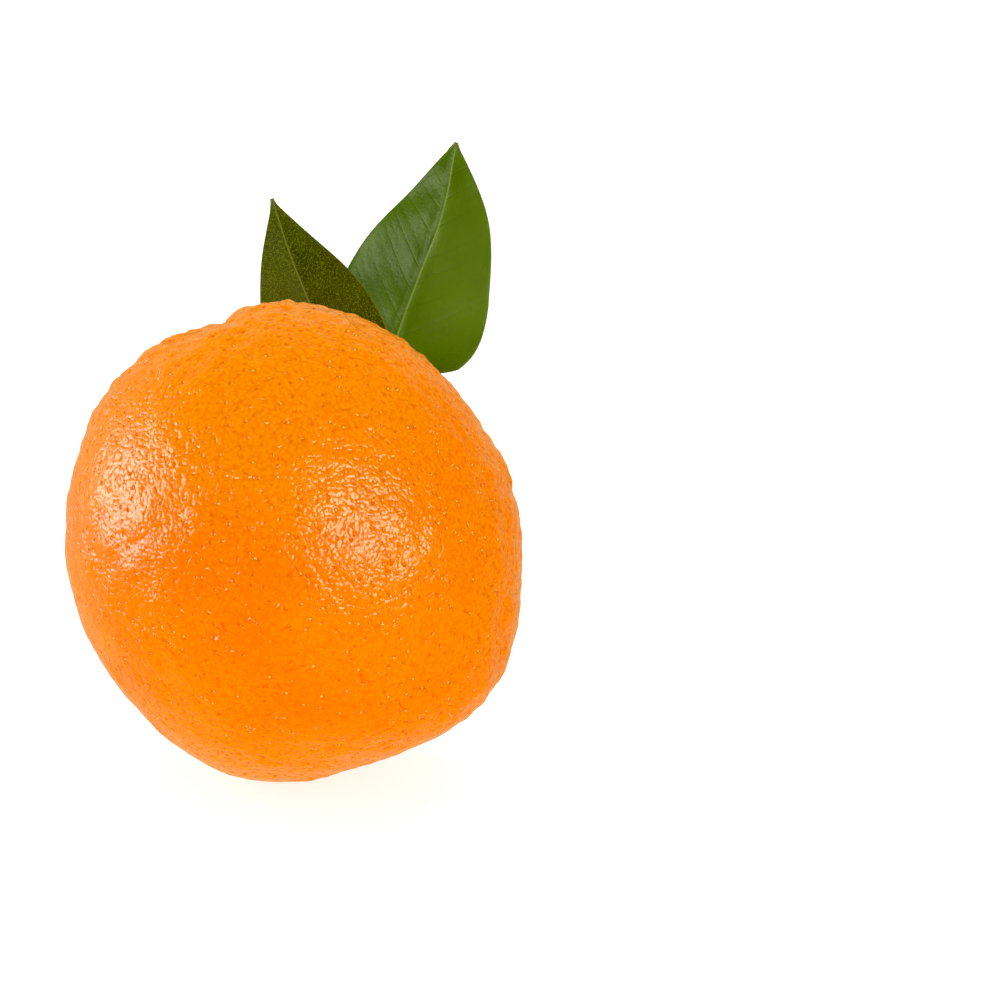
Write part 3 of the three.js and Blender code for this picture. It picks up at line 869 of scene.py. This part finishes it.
def leaf_finish(leaf):
    """The upper face's material: blade, one half painted lighter as painted light, veins, specks,
    rib, dry tip.
    """
    material, surface = new_material(leaf["finish"])
    where = shade(material, "TexCoord").outputs["Object"]
    pattern = shade(material, "SeparateXYZ", {"Vector": kept(material, "leaf_pattern", "Vector")})
    off_rib = pattern.outputs["X"]
    along = pattern.outputs["Z"]
    from_rib = reckoned(material, "ABSOLUTE", off_rib)
    drift = remapped(material, clouds(material, where, BLADE_CLOUDS, 4, 0.55), *BLADE_PART)
    colour = blended(material, drift, leaf["deep"], leaf["blade"])
    # Painted light: one half of the blade, between its foot and its tip, is painted lighter.
    turn = PAINTED_LIT_TURN * leaf["painted_lit_side"]
    painted_lit_half = remapped(material, off_rib, -turn, turn, to=(0, PAINTED_LIT_SHARE))
    for start, end in PAINTED_LIT_PARTS:
        painted_lit_half = reckoned(material, "MULTIPLY", painted_lit_half, remapped(material, along, start, end))
    colour = blended(material, painted_lit_half, colour, leaf["painted_lit_half"])

    vein = reckoned(material, "ADD", pattern.outputs["Y"], 0.5)
    vein = reckoned(material, "SUBTRACT", reckoned(material, "FRACT", vein), 0.5)
    vein = reckoned(material, "ABSOLUTE", vein)
    vein = remapped(material, vein, *VEIN_PART, curve="SMOOTHSTEP")
    fade = remapped(material, from_rib, *VEIN_RUN, to=VEIN_SHARES)
    vein = reckoned(material, "MULTIPLY", vein, fade)
    net = cells(material, where, NET_CELLS, "DISTANCE_TO_EDGE")
    net_line = remapped(material, net, *NET_PART, to=(0, NET_SHARE))
    veined = reckoned(material, "MAXIMUM", vein, net_line)
    colour = blended(material, veined, colour, leaf["vein"])
    specks = clouds(material, where, SPECK_CLOUDS, 1)
    specks = remapped(material, specks, *SPECK_PART, to=(0, leaf["specks"]))
    colour = blended(material, specks, colour, leaf["speck"])

    half_rib = remapped(material, along, *RIB_RUN, to=RIB_HALVES)
    rib = reckoned(material, "SUBTRACT", half_rib, from_rib)
    rib = remapped(material, rib, -RIB_BLUR, RIB_BLUR, curve="SMOOTHSTEP")
    colour = blended(material, rib, colour, leaf["rib"])
    edge = remapped(material, kept(material, "leaf_edge"), *EDGE_PART, to=(0, EDGE_SHARE))
    colour = blended(material, edge, colour, leaf["rib"])
    tip = remapped(material, along, *TIP_PART, to=(0, TIP_SHARE))
    colour = blended(material, tip, colour, DRY_TIP)

    bumps = raised(material, net, NET_BUMP)
    bumps = raised(material, vein, VEIN_BUMP, over=bumps, invert=True)
    fine = clouds(material, where, FINE_CLOUDS, 2)
    bumps = raised(material, fine, FINE_BUMP, over=bumps)
    feed(material, surface, {
        "Base Color": colour, "Normal": bumps,
        "Roughness": leaf["roughness"], "Specular IOR Level": leaf["shine"]})
    return material


def under_finish(leaf):
    """The underside's material: paler and matt, with the midrib paler still."""
    material, surface = new_material(leaf["finish"] + "_under")
    where = shade(material, "TexCoord").outputs["Object"]
    pattern = shade(material, "SeparateXYZ", {"Vector": kept(material, "leaf_pattern", "Vector")})
    from_rib = reckoned(material, "ABSOLUTE", pattern.outputs["X"])
    rib = remapped(material, from_rib, *UNDER_RIB_PART)
    darker = tuple(UNDER_DARKER * channel for channel in leaf["under"][:3]) + (1,)
    colour = blended(material, clouds(material, where, UNDER_CLOUDS, 4), leaf["under"], darker)
    net = cells(material, where, NET_CELLS, "DISTANCE_TO_EDGE")
    feed(material, surface, {
        "Base Color": blended(material, rib, colour, leaf["under_rib"]),
        "Normal": raised(material, net, UNDER_BUMP, invert=True),
        "Roughness": 0.62, "Specular IOR Level": 0.3})
    return material


for name, leaf in LEAVES.items():
    blade_piece = leaf_piece(name + "_blade", leaf)
    blade_piece.data.materials.append(leaf_finish(leaf))
    blade_piece.data.materials.append(under_finish(leaf))
    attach(blade_piece, "root")
    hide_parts(name)
